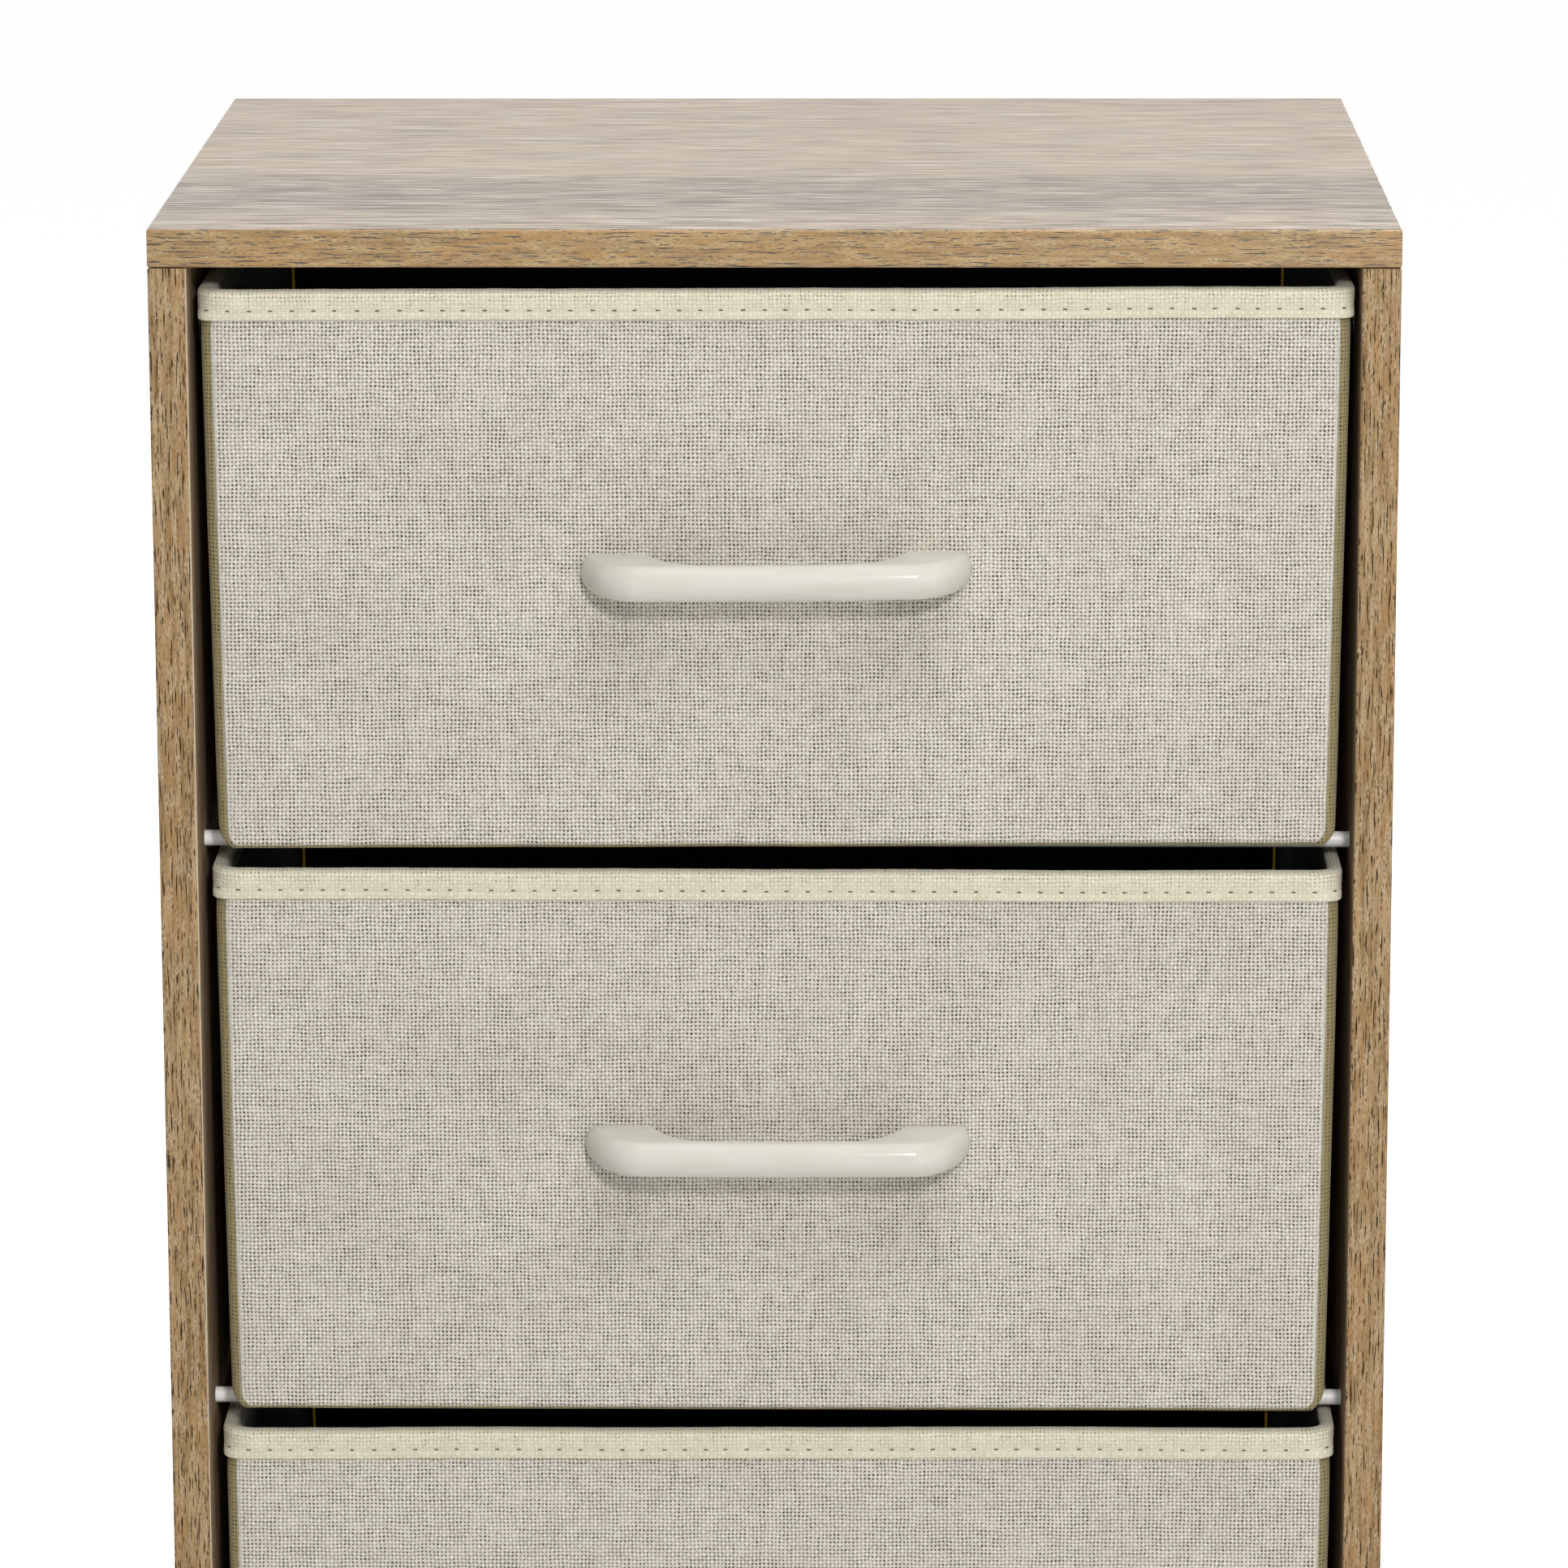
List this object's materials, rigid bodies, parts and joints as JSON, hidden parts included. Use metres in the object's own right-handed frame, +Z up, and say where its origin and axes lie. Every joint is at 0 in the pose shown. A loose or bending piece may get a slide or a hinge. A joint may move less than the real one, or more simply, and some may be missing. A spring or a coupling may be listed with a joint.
{
  "type": "fabric drawer dresser",
  "caption": "Narrow wood-look cabinet with sewn linen-look fabric drawers that slide on steel rods between its side panels.",
  "frame": {"origin": "centre of the whole part's box in plan, on the plane that the glides stand on", "axes": "+Z up, -Y out of the drawer fronts, +X to the right of someone facing the drawers"},
  "size_m": [0.385, 0.322, 0.6036],
  "materials": {
    "top_laminate": "matt printed laminate, pale greyish beige with a fine straight grain, oak-coloured edges",
    "side_laminate": "matt printed oak laminate on fibreboard",
    "white_coated_steel": "smooth white powder coat on steel rod",
    "linen_fabric": "coarse open plain weave, greige",
    "binding_fabric": "cream woven tape with a running stitch",
    "black_lining": "black non-woven cloth",
    "greyboard": "raw grey fibreboard",
    "handle_plastic": "warm white moulded plastic",
    "zinc_steel": "bright zinc-plated steel",
    "beech_dowel": "plain beech",
    "glide_plastic": "dark matt plastic"
  },
  "bodies": {
    "cabinet": {"top_panel": "top_laminate", "left_side_panel": "side_laminate", "right_side_panel": "side_laminate", "front_bottom_rail": "side_laminate", "rear_bottom_rail": "side_laminate", "front_rod_1": "white_coated_steel", "front_rod_2": "white_coated_steel", "front_rod_3": "white_coated_steel", "rear_rod_1": "white_coated_steel", "rear_rod_2": "white_coated_steel", "rear_rod_3": "white_coated_steel", "cam_bolt_front_left": "zinc_steel", "cam_bolt_front_right": "zinc_steel", "cam_bolt_rear_left": "zinc_steel", "cam_bolt_rear_right": "zinc_steel", "cam_lock_front_left": "zinc_steel", "cam_lock_front_right": "zinc_steel", "cam_lock_rear_left": "zinc_steel", "cam_lock_rear_right": "zinc_steel", "rail_dowel_front_left": "beech_dowel", "rail_dowel_front_right": "beech_dowel", "rail_dowel_rear_left": "beech_dowel", "rail_dowel_rear_right": "beech_dowel", "glide_front_left": "glide_plastic", "glide_front_right": "glide_plastic", "glide_rear_left": "glide_plastic", "glide_rear_right": "glide_plastic"},
    "drawer_1": {"drawer_1_fabric_box": "linen_fabric", "drawer_1_rim_binding": "binding_fabric", "drawer_1_lining": "black_lining", "drawer_1_front_board": "greyboard", "drawer_1_back_board": "greyboard", "drawer_1_left_board": "greyboard", "drawer_1_right_board": "greyboard", "drawer_1_base_board": "black_lining", "drawer_1_handle": "handle_plastic", "drawer_1_left_screw": "zinc_steel", "drawer_1_right_screw": "zinc_steel"},
    "drawer_2": {"drawer_2_fabric_box": "linen_fabric", "drawer_2_rim_binding": "binding_fabric", "drawer_2_lining": "black_lining", "drawer_2_front_board": "greyboard", "drawer_2_back_board": "greyboard", "drawer_2_left_board": "greyboard", "drawer_2_right_board": "greyboard", "drawer_2_base_board": "black_lining", "drawer_2_handle": "handle_plastic", "drawer_2_left_screw": "zinc_steel", "drawer_2_right_screw": "zinc_steel"},
    "drawer_3": {"drawer_3_fabric_box": "linen_fabric", "drawer_3_rim_binding": "binding_fabric", "drawer_3_lining": "black_lining", "drawer_3_front_board": "greyboard", "drawer_3_back_board": "greyboard", "drawer_3_left_board": "greyboard", "drawer_3_right_board": "greyboard", "drawer_3_base_board": "black_lining", "drawer_3_handle": "handle_plastic", "drawer_3_left_screw": "zinc_steel", "drawer_3_right_screw": "zinc_steel"}
  },
  "joints": [
    {"name": "drawer_1_slide", "type": "slide", "parent": "cabinet", "child": "drawer_1", "axis": [0, -1, 0], "range_m": [0, 0.24]},
    {"name": "drawer_2_slide", "type": "slide", "parent": "cabinet", "child": "drawer_2", "axis": [0, -1, 0], "range_m": [0, 0.24]},
    {"name": "drawer_3_slide", "type": "slide", "parent": "cabinet", "child": "drawer_3", "axis": [0, -1, 0], "range_m": [0, 0.24]}
  ]
}
